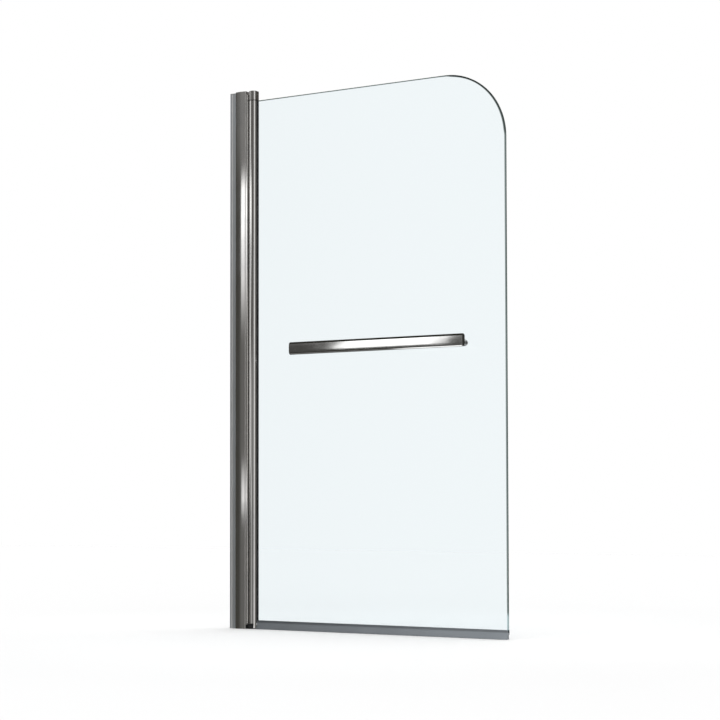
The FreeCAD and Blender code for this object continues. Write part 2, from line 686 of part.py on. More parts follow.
def rail_end_cap(outside, inwards):
    """Cap on one end of the rail; inwards is +1 for the left end and -1 for the right end."""
    inside = outside + inwards * END_CAP_T
    brim = outside + inwards * END_CAP_BEVEL
    face = rail_face()
    flat_end = face.makeOffset2D(-END_CAP_BEVEL).OuterWire
    flat_end.translate(Vector(outside, 0, 0))
    brim_wire = face.OuterWire.copy()
    brim_wire.translate(Vector(brim, 0, 0))
    bevel = Part.makeLoft([flat_end, brim_wire], True, True)
    plate = along_x(face, brim, inside)
    plug = along_x(face.makeOffset2D(-RAIL_WALL - FLAT_FIT), inside, inside + inwards * END_CAP_PLUG)
    return fuse(bevel, plate, plug)


def rail_standoff(x):
    """Turned post between the glass and the rail, with a spigot into the rail's back wall."""
    glass_end = GLASS_FRONT - WASHER_T
    body = turned_y(x, STANDOFF_Z, [
        (0, RAIL_BACK, 0),
        (STANDOFF_R - STANDOFF_CHAMFER, RAIL_BACK, 0),
        (STANDOFF_R, RAIL_BACK + STANDOFF_CHAMFER, 0),
        (STANDOFF_R, glass_end - STANDOFF_CHAMFER, 0),
        (STANDOFF_R - STANDOFF_CHAMFER, glass_end, 0),
        (0, glass_end, 0),
    ])
    spigot = rod_y(x, STANDOFF_Z, SPIGOT_R, RAIL_BACK - RAIL_WALL - SPIGOT_PAST, RAIL_BACK)
    thread = rod_y(x, STANDOFF_Z, STUD_R + SEAT_FIT, glass_end - STUD_IN_STANDOFF - DRILL_TIP, glass_end)
    return fuse(body, spigot).cut(thread)


def ring_set(outer_r, inner_r, start, end):
    """One ring on each standoff axis."""
    rings = []
    for x in STANDOFF_XS:
        ring = rod_y(x, STANDOFF_Z, outer_r, start, end)
        rings.append(ring.cut(rod_y(x, STANDOFF_Z, inner_r, start, end)))
    return Part.makeCompound(rings)


def rail_studs():
    start = GLASS_FRONT - WASHER_T - STUD_IN_STANDOFF
    end = GLASS_T / 2 + WASHER_T + STUD_IN_BUTTON
    return Part.makeCompound([rod_y(x, STANDOFF_Z, STUD_R, start, end) for x in STANDOFF_XS])


def rail_back_buttons():
    """Round nuts that draw the standoffs against the glass."""
    seat = GLASS_T / 2 + WASHER_T
    crown = seat + BUTTON_H
    hole_end = seat + STUD_IN_BUTTON + DRILL_TIP
    buttons = []
    for x in STANDOFF_XS:
        body = turned_y(x, STANDOFF_Z, [
            (STUD_R + SEAT_FIT, seat, 0),
            (BUTTON_R, seat, 0),
            (BUTTON_R, crown - BUTTON_BEVEL, 0),
            (BUTTON_R - BUTTON_BEVEL, crown, 0),
            (0, crown, 0),
            (0, hole_end, 0),
            (STUD_R + SEAT_FIT, hole_end, 0),
        ])
        buttons.append(body)
    return Part.makeCompound(buttons)


PIECES = {
    "wall_channel": wall_channel(),
    "channel_top_cap": channel_top_cap(),
    "channel_bottom_plug": channel_bottom_plug(),
    "pivot_post": pivot_post(),
    "post_top_cap": post_top_cap(),
    "trough_strip": trough_strip(),
    "top_pivot_bracket": top_pivot_bracket(),
    "bottom_pivot_bracket": bottom_pivot_bracket(),
    "top_pivot_pin": pivot_pin(COLUMN_TOP - PIN_IN_COLUMN, TOP_HEAD_Z + TOP_PIN_IN_HEAD),
    "bottom_pivot_pin": pivot_pin(BOTTOM_HEAD_H - PIN_IN_HEAD, COLUMN_FOOT + PIN_IN_COLUMN),
    "top_bracket_screws": bracket_screws(TOP_SCREW_HEIGHTS),
    "bottom_bracket_screws": bracket_screws(BOTTOM_SCREW_HEIGHTS),
    "clamp_screws": clamp_screws(),
    "clamp_nuts": clamp_nuts(),
    "screw_covers": screw_covers(),
    "swing_column": swing_column(),
    "top_pivot_bush": top_pivot_bush(),
    "bottom_pivot_bush": bottom_pivot_bush(),
    "glazing_gasket_front": glazing_gasket(-1),
    "glazing_gasket_back": glazing_gasket(1),
    "setting_blocks": setting_blocks(),
    "glass_panel": glass_panel(),
    "bottom_seal": bottom_seal(),
    "towel_rail_tube": towel_rail_tube(),
    "rail_end_cap_left": rail_end_cap(RAIL_LEFT, 1),
    "rail_end_cap_right": rail_end_cap(RAIL_RIGHT, -1),
    "rail_standoff_left": rail_standoff(STANDOFF_XS[0]),
    "rail_standoff_right": rail_standoff(STANDOFF_XS[1]),
    "rail_washers_front": ring_set(STANDOFF_R, STUD_R + FLAT_FIT, GLASS_FRONT - WASHER_T, GLASS_FRONT),
    "rail_washers_back": ring_set(BUTTON_R, STUD_R + FLAT_FIT, GLASS_T / 2, GLASS_T / 2 + WASHER_T),
    "rail_glass_sleeves": ring_set(SLEEVE_R, STUD_R + SEAT_FIT, -GLASS_T / 2, GLASS_T / 2),
    "rail_studs": rail_studs(),
    "rail_back_buttons": rail_back_buttons(),
}

os.makedirs("parts", exist_ok=True)
for name, shape in PIECES.items():
    box = shape.BoundBox
    print(f"{name}: {len(shape.Solids)} solid(s), valid {shape.isValid()}, {shape.Volume:.0f} mm3, "
          f"X {box.XMin:.2f} to {box.XMax:.2f}, Y {box.YMin:.2f} to {box.YMax:.2f}, "
          f"Z {box.ZMin:.2f} to {box.ZMax:.2f}")
    shape.exportStep(f"parts/{name}.step")
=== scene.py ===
# %% [markdown]
# # A bath screen, dressed for the camera
# The screen is one sheet of curved-corner safety glass. It hangs on a chromed column, and the column turns
# on two pins in a chromed post, which slides over a channel that is screwed to the wall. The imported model
# gives every rigid piece at its real size. This script keeps that frame as it is, gives each piece its
# finish, and replaces the soft, turned and ground pieces with finer ones of the same size.

# %% Load the frame
import math

import bpy
import numpy as np
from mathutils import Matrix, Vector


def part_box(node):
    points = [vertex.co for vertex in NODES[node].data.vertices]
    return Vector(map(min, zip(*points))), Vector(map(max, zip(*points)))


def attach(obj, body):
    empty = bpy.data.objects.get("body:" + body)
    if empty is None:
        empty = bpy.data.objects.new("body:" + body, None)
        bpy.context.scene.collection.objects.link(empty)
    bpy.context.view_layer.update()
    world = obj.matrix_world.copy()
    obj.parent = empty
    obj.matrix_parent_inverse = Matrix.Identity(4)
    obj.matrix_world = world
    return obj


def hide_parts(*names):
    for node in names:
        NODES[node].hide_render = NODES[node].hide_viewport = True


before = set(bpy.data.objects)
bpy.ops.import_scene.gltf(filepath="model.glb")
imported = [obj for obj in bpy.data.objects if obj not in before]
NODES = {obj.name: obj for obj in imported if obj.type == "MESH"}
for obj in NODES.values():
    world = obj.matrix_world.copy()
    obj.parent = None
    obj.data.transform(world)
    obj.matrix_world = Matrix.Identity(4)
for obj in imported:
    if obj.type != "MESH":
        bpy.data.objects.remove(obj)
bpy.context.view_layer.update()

# %% [markdown]
# ## Where the camera stands
# The picture looks up a little at the screen from the right of it and from about knee height, through a
# long lens, so its uprights stay almost parallel. A long lens far away is the way to get that look: a short
# lens close by would make the top lean in. The small vertical shift does what a view camera's rising front
# does.

# %% Camera
from mathutils import Euler, Matrix

SENSOR_MM = 36.0
SEEN_TO = 60.0


def look(place, turn, tilt, roll, lens, rise):
    """Puts a camera with that lens and rise at place, turned, tilted up and rolled by those degrees."""
    data = bpy.data.cameras.new("photo_camera")
    data.lens = lens
    data.sensor_width = SENSOR_MM
    data.shift_y = rise
    data.clip_end = SEEN_TO
    camera = bpy.data.objects.new("photo_camera", data)
    camera.location = place
    aim = Euler((math.radians(90.0 + tilt), 0.0, math.radians(turn))).to_matrix()
    camera.rotation_euler = (aim @ Matrix.Rotation(math.radians(roll), 3, "Z")).to_euler()
    bpy.context.scene.collection.objects.link(camera)
    bpy.context.scene.camera = camera
    return camera


camera = look(place=(2.8674, -4.0287, 0.345), turn=31.59, tilt=2.56, roll=-0.12, lens=94.4, rise=0.07)
print("camera", tuple(round(value, 3) for value in camera.location), "lens", camera.data.lens)

# %% [markdown]
# ## Sums on sockets
# A finish is a small calculation that is done again for every point of a surface. Wiring each plus and
# minus by hand hides the formula, so a small class wraps an output socket and lets Python's own signs add
# the nodes. The other way round works too, so that `1 - mask` reads as it is meant.

# %% A socket that can be calculated with
class Wire:
    """One output socket. Each sign adds the Math node that works it out."""

    def __init__(self, net, socket):
        self.net = net
        self.socket = socket

    def math(self, operation, *values):
        """A Math node of that operation on the values."""
        return self.net.node("ShaderNodeMath", {"operation": operation}, dict(enumerate(values)))

    def __add__(self, other):
        return self.math("ADD", self, other)

    def __radd__(self, other):
        return self.math("ADD", other, self)

    def __sub__(self, other):
        return self.math("SUBTRACT", self, other)

    def __rsub__(self, other):
        return self.math("SUBTRACT", other, self)

    def __mul__(self, other):
        return self.math("MULTIPLY", self, other)

    def __rmul__(self, other):
        return self.math("MULTIPLY", other, self)

    def __truediv__(self, other):
        return self.math("DIVIDE", self, other)

    def __rtruediv__(self, other):
        return self.math("DIVIDE", other, self)

    def __pow__(self, other):
        return self.math("POWER", self, other)

    def __abs__(self):
        return self.math("ABSOLUTE", self)

    def above(self, start, end):
        """0 below start, 1 above end, and a smooth rise between them."""
        settings = {"interpolation_type": "SMOOTHSTEP", "clamp": True}
        values = {"Value": self, 1: start, 2: end, 3: 0.0, 4: 1.0}
        return self.net.node("ShaderNodeMapRange", settings, values)

    def between(self, low, high, soft):
        """1 from low to high, fading to 0 over the distance soft on both sides."""
        return self.above(low - soft, low) * (1 - self.above(high, high + soft))


print("helper: sums on sockets")

# %% A net of nodes
class Net:
    """The nodes of one finish, or of the light all round."""

    def __init__(self, tree):
        self.tree = tree
        tree.nodes.clear()

    def node(self, kind, settings=None, inputs=None, output=0):
        """Adds one node: its settings first, then the values or wires of its sockets."""
        made = self.tree.nodes.new(kind)
        for name, value in (settings or {}).items():
            setattr(made, name, value)
        for name, value in (inputs or {}).items():
            self.join(made.inputs[name], value)
        return Wire(self, made.outputs[output])

    def join(self, socket, value):
        """Links a wire to a socket, or gives the socket a plain value."""
        if isinstance(value, Wire):
            self.tree.links.new(value.socket, socket)
        else:
            socket.default_value = value

    def blend(self, mask, first, second):
        """The colour first where mask is 0, and second where it is 1."""
        settings = {"data_type": "RGBA", "blend_type": "MIX"}
        return self.node("ShaderNodeMix", settings, {0: mask, 6: first, 7: second}, 2)

    def vector(self, operation, first, second):
        """Vector Math on two colours or vectors."""
        return self.node("ShaderNodeVectorMath", {"operation": operation}, {0: first, 1: second})

    def scaled(self, colour, strength):
        """A colour or vector times a value."""
        return self.node("ShaderNodeVectorMath", {"operation": "SCALE"}, {0: colour, "Scale": strength})

    def mixed(self, mask, first, second):
        """The shader first where mask is 0, and second where it is 1."""
        return self.node("ShaderNodeMixShader", None, {0: mask, 1: first, 2: second})

    def show(self, kind, shader):
        """Ends the net in an output node of that kind."""
        end = self.tree.nodes.new(kind)
        self.join(end.inputs["Surface"], shader)


print("helper: a net of nodes")

# %% [markdown]
# ## The studio
# Polished metal has hardly a colour of its own: it shows the room. The photograph was taken in a dark room
# with a few tall soft boxes, against white paper. So the surroundings are white for the camera and for matt
# surfaces, and for reflections they are dark, with soft boxes given by their compass bearing and height.
# Real lamps could do this as well, but then each would also have to be kept off the white paper.

# %% Light all round
WARM_DARK = (0.063, 0.060, 0.053)
PAPER_WHITE = (1.0, 1.0, 1.0, 1.0)
PAPER_GLOW = (1.35, 1.35, 1.35, 1.0)


def soft_box(bearing, height, centre, width, low, high, soft, strength):
    """A glowing rectangle: centre and width in degrees of bearing, low and high in degrees above level."""
    apart = bearing.math("WRAP", bearing - centre, 180.0, -180.0)
    across = 1 - abs(apart).above(width / 2 - soft, width / 2 + soft)
    return across * height.between(low, high, 2 * soft) * strength


def light_all_round(boxes):
    """White paper for the camera and for matt surfaces, and soft boxes in a dark room for reflections."""
    world = bpy.data.worlds.new("studio")
    world.use_nodes = True
    bpy.context.scene.world = world
    net = Net(world.node_tree)
    direction = net.node("ShaderNodeTexCoord", output="Generated")
    x, y, z = [net.node("ShaderNodeSeparateXYZ", None, {0: direction}, axis) for axis in "XYZ"]
    degrees = 180.0 / math.pi
    bearing = y.math("ARCTAN2", y, x) * degrees
    height = z.math("ARCSINE", z) * degrees
    glow = sum(soft_box(bearing, height, *box) for box in boxes)
    mirrored = net.vector("ADD", WARM_DARK, net.scaled((1.0, 1.0, 1.0), glow))
    to_camera = net.node("ShaderNodeLightPath", output="Is Camera Ray")
    to_mirror = net.node("ShaderNodeLightPath", output="Is Glossy Ray")
    seen = net.blend(to_mirror, net.blend(to_camera, PAPER_GLOW, PAPER_WHITE), mirrored)
    net.show("ShaderNodeOutputWorld", net.node("ShaderNodeBackground", None, {"Color": seen}))


print("helpers: a soft box, and light all round")

# %% The soft boxes
SOFT_BOXES = [
    # bearing, width, low, high, edge, strength
    (161.0, 20.0, -12.0, 15.0, 4.0, 0.09),
    (204.0, 18.0, 1.0, 15.0, 1.0, 1.00),
    (244.0, 18.0, -12.0, 15.0, 6.0, 0.09),
    (238.0, 24.0, 11.5, 17.0, 1.5, 0.10),
    (268.0, 20.0, -12.0, 15.0, 6.0, 0.06),
    (288.0, 14.0, -12.0, 15.0, 3.0, 0.14),
    (315.0, 16.0, -12.0, 15.0, 2.0, 1.10),
    (335.0, 20.0, -12.0, 15.0, 4.0, 0.32),
    (270.0, 62.0, -60.0, -12.0, 2.0, 0.50),
    (200.0, 34.0, -60.0, -16.0, 2.0, 0.40),
    (325.0, 40.0, -60.0, -16.0, 2.0, 0.40),
    (105.0, 76.0, -65.0, 50.0, 6.0, 0.16),
    (95.0, 40.0, -60.0, 45.0, 3.0, 0.70),
    (20.0, 30.0, 12.0, 60.0, 5.0, 0.50),
    (240.0, 150.0, 17.0, 24.0, 1.0, 0.45),
]
light_all_round(SOFT_BOXES)
print("soft boxes", len(SOFT_BOXES))

# %% [markdown]
# ## Soft boxes close to the screen
# A light given by bearing alone looks the same from every place. A few boxes stand so near that the bottom
# of the post sees them lower than its top does, and these give the long highlights that fade out along the
# chrome. Each is a glowing card, brightest in the middle. Light linking keeps it to the pieces that it is
# meant for, as a photographer does with black flags, and the camera and matt surfaces don't see it.

# %% A finish, and places on a piece
def finish(name):
    """A new material and its empty net of nodes."""
    material = bpy.data.materials.new(name)
    material.use_nodes = True
    return material, Net(material.node_tree)


def along(net, axis):
    """The place of a point along one axis, in metres."""
    place = net.node("ShaderNodeTexCoord", output="Object")
    return net.node("ShaderNodeSeparateXYZ", None, {0: place}, axis)


print("helpers: a new finish, and the place of a point")

# %% Cards
def lights_only(name, pieces):
    """A light-linking collection of those pieces."""
    group = bpy.data.collections.new(name)
    for piece in pieces:
        group.objects.link(piece)
    return group


def card(name, flat, at, first, second, strength, pieces):
    """A card square to the axis flat, at that place on it, which lights the pieces.

    first and second give, along the two other axes, where the glow begins, is full, is full still, and ends.
    """
    axes = [axis for axis in "XYZ" if axis != flat]
    material, net = finish(name)
    glow = strength
    for axis, (begins, full, still, ends) in zip(axes, (first, second)):
        place = along(net, axis)
        glow = place.above(begins, full) * (1 - place.above(still, ends)) * glow
    light = net.node("ShaderNodeEmission", None, {"Color": net.scaled((1.0, 1.0, 1.0), glow)})
    clear = net.node("ShaderNodeBsdfTransparent")
    net.show("ShaderNodeOutputMaterial", net.node("ShaderNodeAddShader", None, {0: light, 1: clear}))
    rim = [(first[0], second[0]), (first[3], second[0]), (first[3], second[3]), (first[0], second[3])]
    corners = np.insert(np.array(rim), "XYZ".index(flat), at, axis=1)
    mesh = bpy.data.meshes.new(name)
    mesh.from_pydata(corners.tolist(), [], [(0, 1, 2, 3)])
    mesh.materials.append(material)
    panel = bpy.data.objects.new(name, mesh)
    panel.visible_camera = False
    panel.visible_diffuse = False
    panel.visible_transmission = False
    panel.visible_shadow = False
    panel.light_linking.receiver_collection = lights_only(name + "_lights", pieces)
    bpy.context.scene.collection.objects.link(panel)
    return panel


print("helper: a card for some pieces")

# %% The cards round the screen
FRONT_Y, FARTHER_Y, BACK_Y = -1.5, -1.6, 1.6
SIDE_X, UNDER_Z = -1.0, 0.45
COLUMN = [NODES["swing_column"]]
UPRIGHTS = [NODES["pivot_post"], NODES["swing_column"]]
RAIL = [NODES["towel_rail_tube"], NODES["rail_end_cap_left"], NODES["rail_end_cap_right"]]
CARDS = {name: card(name, *place_and_glow) for name, *place_and_glow in [
    ("rail_card", "Y", FRONT_Y, (-0.58, -0.55, -0.16, -0.13), (0.67, 0.70, 1.15, 1.18), 3.0, RAIL),
    ("post_card", "Y", FRONT_Y, (-0.94, -0.86, -0.66, -0.58), (0.86, 1.32, 1.40, 1.50), 1.5, UPRIGHTS),
    ("low_post_card", "Y", FRONT_Y, (-0.90, -0.78, -0.66, -0.58), (0.26, 0.32, 0.34, 0.49), 1.0, UPRIGHTS),
    ("under_rail_card", "Z", UNDER_Z, (0.34, 0.42, 0.66, 0.72), (-0.2, -0.16, 0.36, 0.4), 2.4, RAIL),
    ("back_rail_card", "Y", BACK_Y, (-1.6, -1.2, 1.6, 2.0), (-0.9, -0.7, 0.5, 0.7), 0.45, RAIL),
    ("side_card", "X", SIDE_X, (-0.98, -0.90, -0.68, -0.62), (0.40, 0.46, 1.75, 1.90), 1.2, COLUMN),
    ("side_peak_card", "X", SIDE_X, (-0.98, -0.90, -0.55, -0.45), (1.12, 1.28, 1.34, 1.46), 1.2, COLUMN),
    ("column_card", "Y", FARTHER_Y, (-1.40, -1.20, -0.60, -0.30), (1.15, 1.36, 1.44, 1.58), 0.5, COLUMN),
    ("low_column_card", "Y", FARTHER_Y, (-1.45, -1.30, 0.10, 0.25), (-0.35, -0.25, 0.72, 0.95), 0.26, COLUMN),
]}
print("cards", len(CARDS), "before, behind and beside the screen, and under the rail")

# %% [markdown]
# ## The floor
# A plain white floor under the screen, matt, so that it only takes a faint shadow where a piece stands on it.
# A photographer lights the paper close to the object a little more; here the paper's colour is made a
# little whiter there instead, which is painted light that lifts the shadow. It is hidden from mirror
# reflections, because the chrome shows the dark room down there.

# %% Floor
FLOOR_HALF = 6.0
FLOOR_DROP = 0.0004
FLOOR_MIDDLE = (0.4, 0.0, 0.0)
# Inside this reach the paper is painted whiter: painted light that lifts the shadow of the screen.
PAINTED_LIGHT_REACH = (0.3, 1.3)
NEAR_PAPER_PAINTED_LIGHT, FAR_PAPER = (0.80, 0.80, 0.80, 1.0), (0.742, 0.742, 0.742, 1.0)


def floor_finish():
    """White paper, painted a little whiter close to the screen as painted light against the screen's shadow.
    """
    material, net = finish("white_paper")
    place = net.node("ShaderNodeTexCoord", output="Object")
    away = net.vector("SUBTRACT", place, FLOOR_MIDDLE)
    distance = net.node("ShaderNodeVectorMath", {"operation": "LENGTH"}, {0: away}, "Value")
    paper = net.blend(distance.above(*PAINTED_LIGHT_REACH), NEAR_PAPER_PAINTED_LIGHT, FAR_PAPER)
    net.show("ShaderNodeOutputMaterial", net.node("ShaderNodeBsdfDiffuse", None, {"Color": paper}))
    return material


def floor():
    """One square face, just under the foot of the screen."""
    corners = [(x * FLOOR_HALF, y * FLOOR_HALF, -FLOOR_DROP) for x, y in ((-1, -1), (1, -1), (1, 1), (-1, 1))]
    mesh = bpy.data.meshes.new("floor")
    mesh.from_pydata(corners, [], [(0, 1, 2, 3)])
    mesh.materials.append(floor_finish())
    plane = bpy.data.objects.new("floor", mesh)
    plane.visible_glossy = False
    bpy.context.scene.collection.objects.link(plane)


floor()
bpy.context.scene.view_settings.view_transform = "Standard"
print("floor", 2 * FLOOR_HALF, "m square, colours shown as they are")

# %% [markdown]
# ## Bright chrome
# The post, the column and the towel rail are drawn aluminium, polished and plated with nickel and chromium.
# The plate is a mirror, a little darker than silver, over the faint lines that the drawing die left along
# the length, and here and there a film of dried water dulls it. A Principled shader with full Metallic gives
# the mirror; stretched noise gives lines that run one way only.

# %% Patches, relief and the shader
HAZE_SCALE, HAZE_DETAIL, HAZE_FROM_TO = 9.0, 4.0, (0.46, 0.66)


def spots(net, scale, detail=2.0, stretch=(1.0, 1.0, 1.0)):
    """Soft random values from about 0.3 to 0.7, as fine as scale to the metre along each stretched axis."""
    place = net.node("ShaderNodeTexCoord", output="Object")
    place = net.node("ShaderNodeMapping", None, {"Vector": place, "Scale": stretch})
    return net.node("ShaderNodeTexNoise", None, {"Vector": place, "Scale": scale, "Detail": detail}, "Fac")


def dried_water(net):
    """1 in the soft patches where water has dried on the metal, and 0 between them."""
    return spots(net, HAZE_SCALE, HAZE_DETAIL).above(*HAZE_FROM_TO)


def relief(net, height, depth):
    """The normal of a surface whose height goes from 0 to 1 over that depth in metres."""
    return net.node("ShaderNodeBump", None, {"Height": height, "Strength": 1.0, "Distance": depth})


def cover_with(net, colour, roughness, normal, metallic=0.0):
    """Ends a finish in a Principled shader."""
    net.show("ShaderNodeOutputMaterial", net.node("ShaderNodeBsdfPrincipled", None, {
        "Base Color": colour,
        "Metallic": metallic,
        "Roughness": roughness,
        "Normal": normal,
    }))


print("helpers: soft patches, relief and the shader of a solid finish")

# %% Polished metal
GROOVE_ROUGHNESS = 0.55


def metal(name, tint, dulled, polish, haze_polish, lines, line_depth, matt_line=None):
    """Metal with a tint that is duller under dried water, and fine lines of that depth in metres.

    lines stretches the noise of the lines: large across them, and small along them. matt_line gives, along X,
    where a groove that the polishing wheel can't reach begins, ends and fades out.
    """
    material, net = finish(name)
    haze = dried_water(net)
    roughness = polish + haze * (haze_polish - polish)
    if matt_line:
        groove = along(net, "X").between(*matt_line)
        roughness = roughness + groove * (GROOVE_ROUGHNESS - roughness)
    drawn = relief(net, spots(net, 1.0, stretch=lines), line_depth)
    cover_with(net, net.blend(haze, tint, dulled), roughness, drawn, metallic=1.0)
    return material


def dress(material, *names):
    """Gives a finish to solids of the frame."""
    for name in names:
        for slot in NODES[name].material_slots:
            slot.material = material
    print(material.name, "on", len(names))


print("helpers: a polished metal, and dressing solids in a finish")

# %% Chrome on the uprights
UPRIGHT_LINES = (1400.0, 1400.0, 3.0)
POST_LINE = (0.0484, 0.0502, 0.0003)
chrome_upright = metal(
    "chrome_extrusion", tint=(0.72, 0.71, 0.70, 1.0), dulled=(0.66, 0.655, 0.65, 1.0),
    polish=0.08, haze_polish=0.13, lines=UPRIGHT_LINES, line_depth=1.5e-6, matt_line=POST_LINE
)
dress(chrome_upright, "pivot_post", "swing_column")

# %% [markdown]
# ## The rail and the castings
# The towel rail lies level, so its lines run the other way. It is plated like the uprights, but it shows the
# darkest corner of the room between its highlights, and to keep that dark its tint is made darker: painted
# shade, not a different plate. Its cards are stronger to match. The caps and the top bracket are cast and
# then plated, with no lines but a fine even grain.

# %% Rail chrome
# The tint below is darker than the uprights' chrome: painted shade on the same plate.
LEVEL_LINES = (3.0, 1400.0, 1400.0)
rail_chrome_painted_shade = metal(
    "chrome_rail", tint=(0.42, 0.42, 0.415, 1.0), dulled=(0.39, 0.39, 0.385, 1.0),
    polish=0.08, haze_polish=0.12, lines=LEVEL_LINES, line_depth=1.0e-6
)
dress(rail_chrome_painted_shade, "towel_rail_tube", "rail_end_cap_left", "rail_end_cap_right")

# %% Cast pieces
CAST_GRAIN = (220.0, 220.0, 220.0)
chrome_cast = metal(
    "chrome_casting", tint=(0.70, 0.69, 0.68, 1.0), dulled=(0.64, 0.635, 0.63, 1.0),
    polish=0.09, haze_polish=0.15, lines=CAST_GRAIN, line_depth=3e-6
)
dress(chrome_cast, "channel_top_cap", "post_top_cap", "top_pivot_bracket")

# %% [markdown]
# ## The wall channel
# The channel is the same aluminium, but it is only satin polished, because hardly any of it shows. It is
# lighter and bluer than the post, and its finer scatter evens out what it reflects.

# %% Satin channel
# One line of the satin tint is made white: a painted highlight, standing in for the glint of a fine groove.
PAINTED_HIGHLIGHT_LINE = (0.0056, 0.0076, 0.0005)
SATIN, DULL_SATIN = (0.74, 0.78, 0.82, 1.0), (0.68, 0.72, 0.76, 1.0)
SATIN_ROUGHNESS, DULL_SATIN_MORE = 0.32, 0.08
SATIN_LINE_DEPTH = 4e-6


def satin_finish():
    """Satin metal with one painted highlight along it: its tint turns white in a line, in place of the glint
    of a fine groove.
    """
    material, net = finish("satin_channel")
    haze = dried_water(net)
    line = along(net, "X").between(*PAINTED_HIGHLIGHT_LINE)
    colour = net.blend(line, net.blend(haze, SATIN, DULL_SATIN), PAPER_WHITE)
    drawn = relief(net, spots(net, 1.0, stretch=UPRIGHT_LINES), SATIN_LINE_DEPTH)
    cover_with(net, colour, SATIN_ROUGHNESS + haze * DULL_SATIN_MORE, drawn, metallic=1.0)
    return material


dress(satin_finish(), "wall_channel")

# %% [markdown]
# ## Steel
# Pins, screws, nuts and studs are stainless steel as it comes from the lathe: greyer and rougher than
# chrome.

# %% Stainless steel
LATHE_GRAIN = (900.0, 900.0, 900.0)
steel = metal(
    "stainless_steel", tint=(0.56, 0.55, 0.53, 1.0), dulled=(0.50, 0.49, 0.47, 1.0),
    polish=0.26, haze_polish=0.36, lines=LATHE_GRAIN, line_depth=4e-6
)
dress(steel, "top_pivot_pin", "bottom_pivot_pin", "clamp_screws", "clamp_nuts", "rail_studs")

# %% [markdown]
# ## Safety glass
# The panel is 6 mm toughened glass with polished edges. Looked through, it takes a few percent of the
# light, a little more of the red. Looked at on the edge, the path through it is long, and the iron in
# ordinary glass turns it dark green-grey. A glass shader that bends every ray would show this only with
# many bounces, so the sheet is made as what it does: light passes with a tint, and a Fresnel share is
# mirrored. The edge is found from the direction in which the face points, measured on the sheet and not in
# the room, so it stays when the screen swings. Each tint is a shader of its own, and only the factors that
# mix them change over the sheet.

# %% Tints of the glass
# The dark green-grey is the glass's own colour. How it changes round the sheet is painted: the darker corner
# rim is painted shade, the paler foot is painted light, and the brighter stretch of the top cut is a painted
# reflection.
CLEAR_TINT = (0.950, 0.978, 0.987, 1.0)
TOP_RIM, CORNER_RIM_PAINTED_SHADE = (0.34, 0.40, 0.39, 1.0), (0.13, 0.155, 0.15, 1.0)
SIDE_RIM, FOOT_RIM_PAINTED_LIGHT = (0.20, 0.235, 0.23, 1.0), (0.48, 0.58, 0.60, 1.0)
TOP_CUT, CUT_PAINTED_REFLECTION = (0.10, 0.13, 0.125, 1.0), (0.18, 0.22, 0.22, 1.0)
SIDE_CUT, FOOT_CUT_PAINTED_LIGHT = (0.30, 0.35, 0.335, 1.0), (0.60, 0.68, 0.68, 1.0)


def tinted(net, *tints):
    """A shader for each tint, through which light goes straight on."""
    return [net.node("ShaderNodeBsdfTransparent", None, {"Color": tint}) for tint in tints]


print("helper: tints that light goes through")

# %% Where the rim of the sheet is
GLASS_LOW, GLASS_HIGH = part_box("glass_panel")
CORNER_R = 0.166
TOP_RIM_WIDTH, SIDE_WIDER, CORNER_WIDER = 0.0010, 0.0011, 0.0010
RIM_FADES = (1.0, 1.6)
CORNER_STARTS = (0.0, 0.0030)


def past_corner(net, axis, edge):
    """How far a point is past the middle of the corner's radius along an axis, or 0 before it."""
    place = along(net, axis)
    return place.math("MAXIMUM", place - (edge - CORNER_R), 0.0)


def rim_of_sheet(net, side):
    """How far inside the rim a point is, from 0 to 1, and whether that is at the corner.

    The distance from the edge is CORNER_R - sqrt(right^2 + up^2), which holds along the straight edges too.
    """
    right, up = past_corner(net, "X", GLASS_HIGH.x), past_corner(net, "Z", GLASS_HIGH.z)
    inset = CORNER_R - (right * right + up * up) ** 0.5
    corner = (right * up).above(*CORNER_STARTS)
    width = TOP_RIM_WIDTH + side * SIDE_WIDER + corner * CORNER_WIDER
    return (inset / width).above(*RIM_FADES), corner


print("corner radius", CORNER_R, "m")

# %% Glass
SIDE_FROM_TO, FOOT_FROM_TO = (0.60, 0.68), (0.052, 0.068)
PAINTED_REFLECTION_SPAN = (0.28, 0.48, 0.14)
FACE_FROM_TO = (0.75, 0.95)
GLASS_IOR, MIRRORED_SHARE = 1.45, 0.5
WIPED_SCALE, WIPED_DETAIL, WIPED_STRETCH = 3.0, 3.0, (1.0, 1.0, 2.5)
GLASS_ROUGHNESS, WIPED_MORE = 0.02, 0.03


